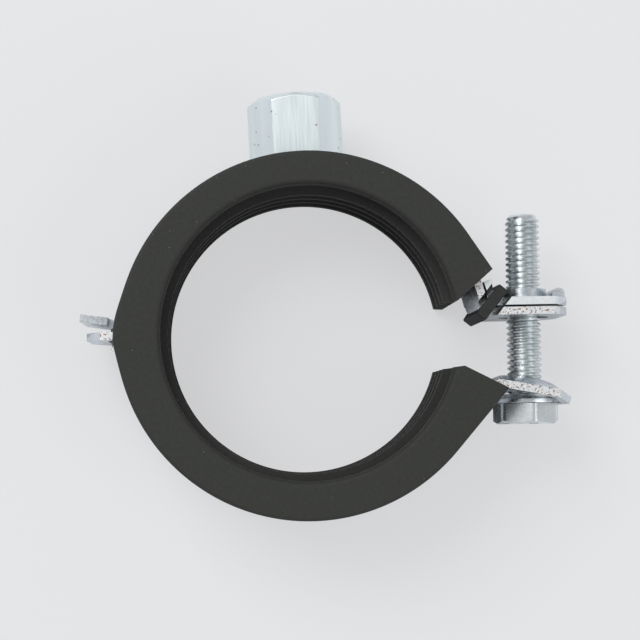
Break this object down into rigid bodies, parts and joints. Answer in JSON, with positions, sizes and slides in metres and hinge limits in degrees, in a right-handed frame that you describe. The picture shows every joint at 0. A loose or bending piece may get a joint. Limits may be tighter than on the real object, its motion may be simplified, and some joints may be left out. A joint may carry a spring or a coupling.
{
  "type": "cushioned pipe clamp",
  "caption": "Two-piece hinged pipe clamp in zinc-plated steel with a ribbed rubber lining, closed by a long screw in a locking plate, with a threaded hexagonal connection boss",
  "frame": {"origin": "on the axis of the pipe seat, halfway along the lining's width", "axes": "+Z along the pipe axis, +Y up to the connection boss, +X towards the closing screw; the clamp lies on its side on the rim at the low end of Z"},
  "size_m": [0.0828, 0.0727, 0.024],
  "materials": {
    "band_steel": "zinc-plated sheet steel with bright sheared edges",
    "boss_steel": "zinc-plated drawn hexagonal steel bar",
    "plate_steel": "zinc-plated sheet steel",
    "screw_steel": "bright zinc-plated rolled screw",
    "washer_steel": "zinc-plated dished washer",
    "lining_rubber": "matte extruded rubber with fine dust",
    "keeper_rubber": "matte black rubber"
  },
  "bodies": {
    "upper_half": {"upper_band": "band_steel", "upper_lining": "lining_rubber", "connection_boss": "boss_steel", "locking_plate": "plate_steel", "keeper_loop": "keeper_rubber"},
    "lower_half": {"lower_band": "band_steel", "lower_lining": "lining_rubber"},
    "screw_washer": {"head_washer": "washer_steel"},
    "screw": {"clamping_screw": "screw_steel"}
  },
  "joints": [
    {"name": "clamp_hinge", "type": "hinge", "parent": "upper_half", "child": "lower_half", "pos_m": [-0.0331, 0.0022, 0], "axis": [0, 0, 1], "range_deg": [-1.2, 7.1]},
    {"name": "screw_travel", "type": "slide", "parent": "upper_half", "child": "screw_washer", "axis": [0.0366, 0.9993, 0], "range_m": [-0.0015, 0.0088]},
    {"name": "screw_turn", "type": "hinge", "parent": "screw_washer", "child": "screw", "pos_m": [0.03775, 0, 0], "axis": [0.0366, 0.9993, 0], "range_deg": [-480, 3110]}
  ],
  "couplings": [
    {"joint": "clamp_hinge", "follows": "screw_turn", "ratio": 0.0022385},
    {"joint": "screw_travel", "follows": "screw_turn", "m_per_rad": 0.00015915}
  ]
}
